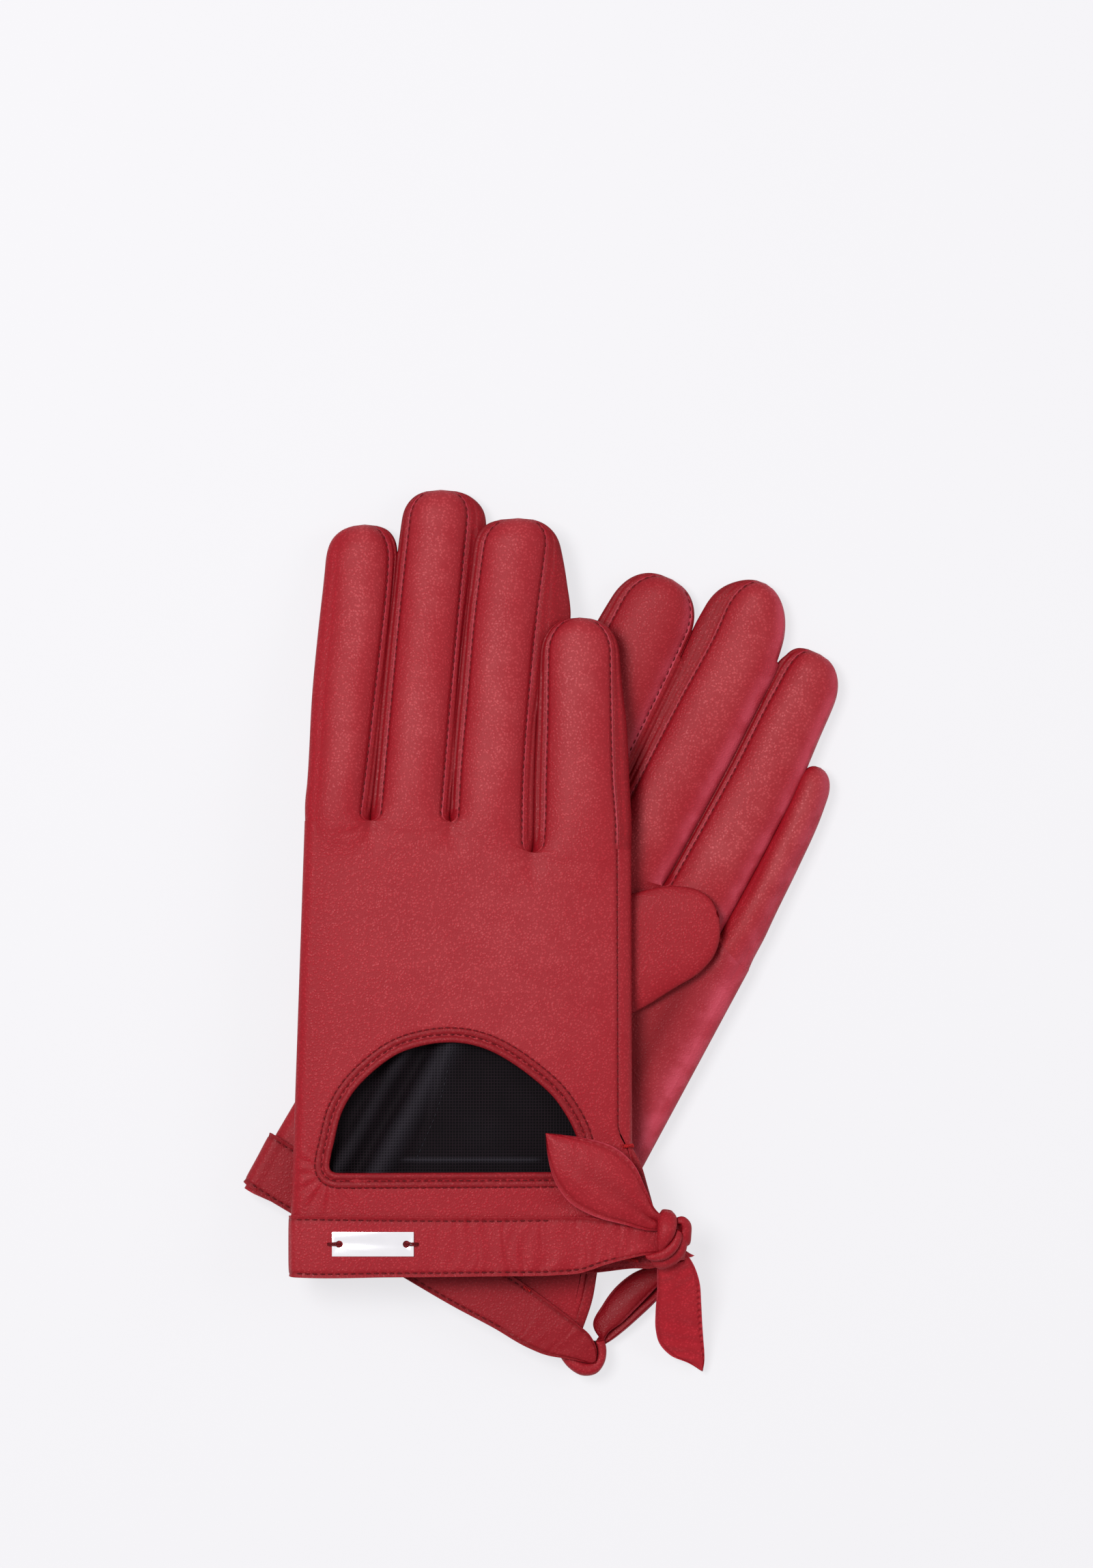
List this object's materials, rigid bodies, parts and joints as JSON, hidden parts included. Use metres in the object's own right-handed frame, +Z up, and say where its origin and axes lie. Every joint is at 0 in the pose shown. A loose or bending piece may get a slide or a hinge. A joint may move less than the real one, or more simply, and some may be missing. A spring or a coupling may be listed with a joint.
{
  "type": "pair of leather driving gloves",
  "caption": "Pair of short leather driving gloves with a window in the back, a wrist band with a bare metal plate, and a tied strap; the right glove lies across the left.",
  "frame": {"origin": "bottom centre of the pair's box, on the surface that it lies on", "axes": "+Y from the right glove's wrist to its fingertips, +X towards its little finger, +Z up"},
  "size_m": [0.1614, 0.2396, 0.0243],
  "materials": {
    "red_leather": "soft grained nappa with a low sheen",
    "black_lining": "fine black woven lining",
    "plate_metal": "polished silver-coloured plate",
    "red_thread": "red sewing thread"
  },
  "bodies": {
    "left_glove": {"left_back_panel": "red_leather", "left_palm_panel": "red_leather", "left_fold_side": "red_leather", "left_outer_seam": "red_leather", "left_hand_lining": "black_lining", "left_window_binding": "red_leather", "left_thumb": "red_leather", "left_index_back": "red_leather", "left_index_palm": "red_leather", "left_index_sides": "red_leather", "left_index_lining": "black_lining", "left_middle_back": "red_leather", "left_middle_palm": "red_leather", "left_middle_sides": "red_leather", "left_middle_lining": "black_lining", "left_back_band": "red_leather", "left_palm_band": "red_leather", "left_plate": "plate_metal", "left_plate_thread": "red_thread", "left_knot": "red_leather", "left_back_tail": "red_leather", "left_free_tail": "red_leather"},
    "right_hand": {"right_back_panel": "red_leather", "right_palm_panel": "red_leather", "right_fold_side": "red_leather", "right_outer_seam": "red_leather", "right_hand_lining": "black_lining", "right_window_binding": "red_leather", "right_thumb": "red_leather", "right_back_band": "red_leather", "right_palm_band": "red_leather", "right_plate": "plate_metal", "right_plate_thread": "red_thread", "right_knot": "red_leather"},
    "right_index": {"right_index_back": "red_leather", "right_index_palm": "red_leather", "right_index_sides": "red_leather", "right_index_lining": "black_lining"},
    "right_middle": {"right_middle_back": "red_leather", "right_middle_palm": "red_leather", "right_middle_sides": "red_leather", "right_middle_lining": "black_lining"},
    "right_ring": {"right_ring_back": "red_leather", "right_ring_palm": "red_leather", "right_ring_sides": "red_leather", "right_ring_lining": "black_lining"},
    "right_little": {"right_little_back": "red_leather", "right_little_palm": "red_leather", "right_little_sides": "red_leather", "right_little_lining": "black_lining"},
    "left_ring": {"left_ring_back": "red_leather", "left_ring_palm": "red_leather", "left_ring_sides": "red_leather", "left_ring_lining": "black_lining"},
    "left_little": {"left_little_back": "red_leather", "left_little_palm": "red_leather", "left_little_sides": "red_leather", "left_little_lining": "black_lining"},
    "right_back_tail": {"right_back_tail": "red_leather"},
    "right_free_tail": {"right_free_tail": "red_leather"}
  },
  "joints": [
    {"name": "lift_right_glove", "type": "slide", "parent": "left_glove", "child": "right_hand", "axis": [0, 0, 1], "range_m": [0, 0.05]},
    {"name": "right_index_fold", "type": "hinge", "parent": "right_hand", "child": "right_index", "pos_m": [-0.05426, 0.03156, 0.0225], "axis": [0.9978, -0.0663, 0], "range_deg": [0, 60]},
    {"name": "right_middle_fold", "type": "hinge", "parent": "right_hand", "child": "right_middle", "pos_m": [-0.03406, 0.03406, 0.0225], "axis": [0.9959, -0.0906, 0], "range_deg": [0, 60]},
    {"name": "right_ring_fold", "type": "hinge", "parent": "right_hand", "child": "right_ring", "pos_m": [-0.01266, 0.03406, 0.0225], "axis": [0.996, -0.0889, 0], "range_deg": [0, 60]},
    {"name": "right_little_fold", "type": "hinge", "parent": "right_hand", "child": "right_little", "pos_m": [0.01254, 0.02356, 0.0225], "axis": [1, -0.0087, 0], "range_deg": [0, 60]},
    {"name": "left_ring_fold", "type": "hinge", "parent": "left_glove", "child": "left_ring", "pos_m": [0.04417, 0.01026, 0.0102], "axis": [0.9011, -0.4337, 0], "range_deg": [0, 60]},
    {"name": "left_little_fold", "type": "hinge", "parent": "left_glove", "child": "left_little", "pos_m": [0.0548, -0.00235, 0.0102], "axis": [0.9056, -0.4242, 0], "range_deg": [0, 60]},
    {"name": "right_back_tail_lift", "type": "hinge", "parent": "right_hand", "child": "right_back_tail", "pos_m": [0.02874, -0.07654, 0.0243], "axis": [0.5592, 0.829, 0], "range_deg": [0, 70]},
    {"name": "right_free_tail_lift", "type": "hinge", "parent": "right_hand", "child": "right_free_tail", "pos_m": [0.03776, -0.09106, 0.01483], "axis": [-0.9986, -0.0523, 0], "range_deg": [0, 70]}
  ]
}
